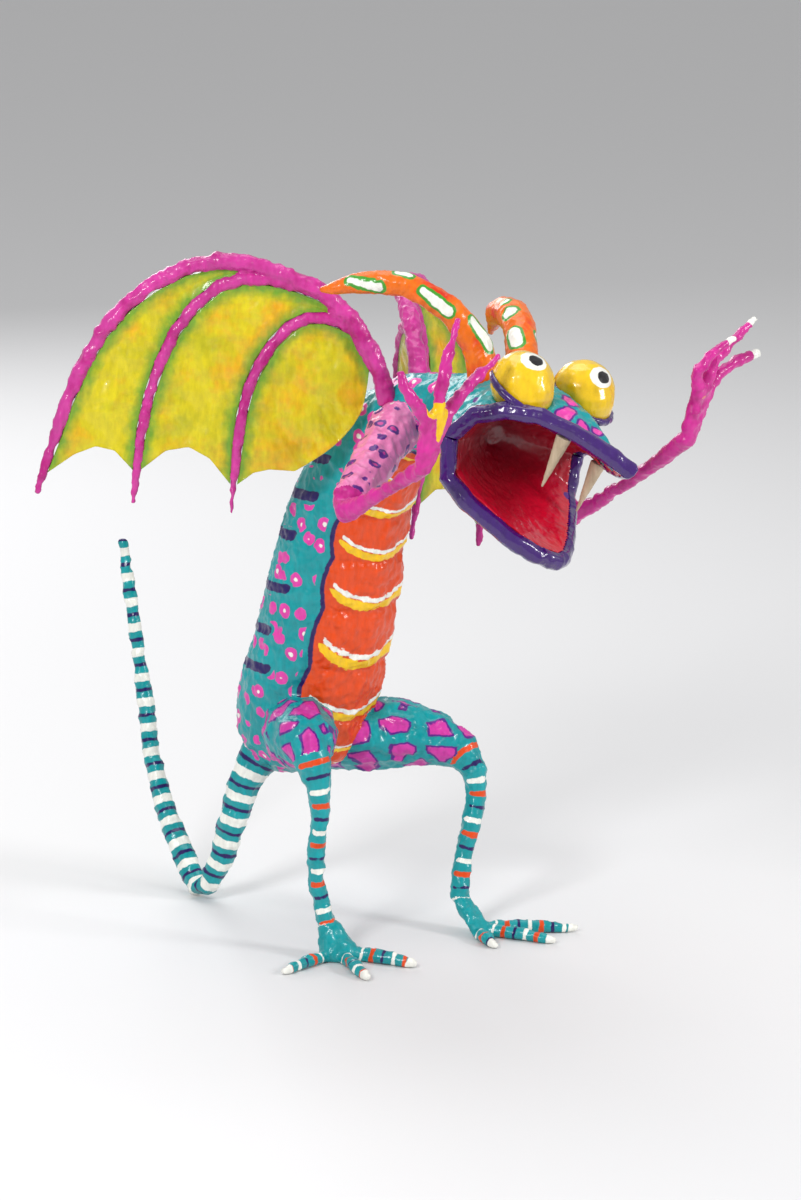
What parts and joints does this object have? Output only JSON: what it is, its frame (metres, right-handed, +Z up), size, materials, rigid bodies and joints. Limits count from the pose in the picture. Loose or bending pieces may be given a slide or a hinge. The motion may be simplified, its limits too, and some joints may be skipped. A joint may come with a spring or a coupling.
{
  "type": "alebrije figure",
  "caption": "Hand-painted papier-mache creature with open fanged mouth, curved horns, outspread wings, raised hands and a long upturned tail, standing on its feet",
  "frame": {"origin": "on the floor under the middle of the figure's outline", "axes": "+Z up, creature faces -Y, its own left is +X"},
  "size_m": [0.3648, 0.4786, 0.4591],
  "materials": {
    "body_paint": "papier-mache, brushed acrylic paint under gloss varnish",
    "head_paint": "papier-mache, brushed acrylic paint under gloss varnish",
    "mouth_paint": "papier-mache, brushed acrylic paint under gloss varnish",
    "lip_paint": "papier-mache roll, glossy acrylic paint",
    "eye_paint": "papier-mache ball, acrylic paint under gloss varnish",
    "horn_paint": "papier-mache, brushed acrylic paint under gloss varnish",
    "fang_wood": "bare carved wood",
    "arm_paint": "papier-mache, brushed acrylic paint under gloss varnish",
    "hand_paint": "papier-mache, brushed acrylic paint under gloss varnish",
    "thigh_paint": "papier-mache, brushed acrylic paint under gloss varnish",
    "foot_paint": "papier-mache, brushed acrylic paint under gloss varnish",
    "tail_paint": "papier-mache, brushed acrylic paint under gloss varnish",
    "wing_rib_paint": "papier-mache over wire, brushed acrylic paint under gloss varnish",
    "wing_sheet_paint": "stretched paper, brushed acrylic paint under gloss varnish",
    "armature_wire": "galvanised wire, hidden inside",
    "newspaper": "wadded newspaper, hidden inside"
  },
  "bodies": {
    "root": {"torso": "body_paint", "newspaper_core": "newspaper", "spine_wire": "armature_wire", "head_shell": "head_paint", "lower_jaw": "head_paint", "mouth_lining": "mouth_paint", "upper_lip": "lip_paint", "lower_lip": "lip_paint", "right_eye": "eye_paint", "left_eye": "eye_paint", "right_eyelid": "lip_paint", "left_eyelid": "lip_paint", "right_fang": "fang_wood", "left_fang": "fang_wood", "right_horn": "horn_paint", "left_horn": "horn_paint", "right_upper_arm": "arm_paint", "right_forearm": "hand_paint", "right_palm": "hand_paint", "right_finger_1": "hand_paint", "right_finger_2": "hand_paint", "right_finger_3": "hand_paint", "right_arm_wire": "armature_wire", "left_upper_arm": "arm_paint", "left_forearm": "hand_paint", "left_palm": "hand_paint", "left_finger_1": "hand_paint", "left_finger_2": "hand_paint", "left_finger_3": "hand_paint", "left_arm_wire": "armature_wire", "right_thigh": "thigh_paint", "right_shank": "foot_paint", "right_foot": "foot_paint", "right_toe_1": "foot_paint", "right_toe_2": "foot_paint", "right_toe_3": "foot_paint", "right_leg_wire": "armature_wire", "left_thigh": "thigh_paint", "left_shank": "foot_paint", "left_foot": "foot_paint", "left_toe_1": "foot_paint", "left_toe_2": "foot_paint", "left_toe_3": "foot_paint", "left_leg_wire": "armature_wire", "tail_root": "tail_paint", "tail_whip": "tail_paint", "tail_wire": "armature_wire", "right_wing_spar": "wing_rib_paint", "right_wing_middle_rib": "wing_rib_paint", "right_wing_inner_rib": "wing_rib_paint", "right_wing_membrane": "wing_sheet_paint", "right_wing_wire": "armature_wire", "left_wing_spar": "wing_rib_paint", "left_wing_middle_rib": "wing_rib_paint", "left_wing_inner_rib": "wing_rib_paint", "left_wing_membrane": "wing_sheet_paint", "left_wing_wire": "armature_wire"}
  },
  "joints": []
}
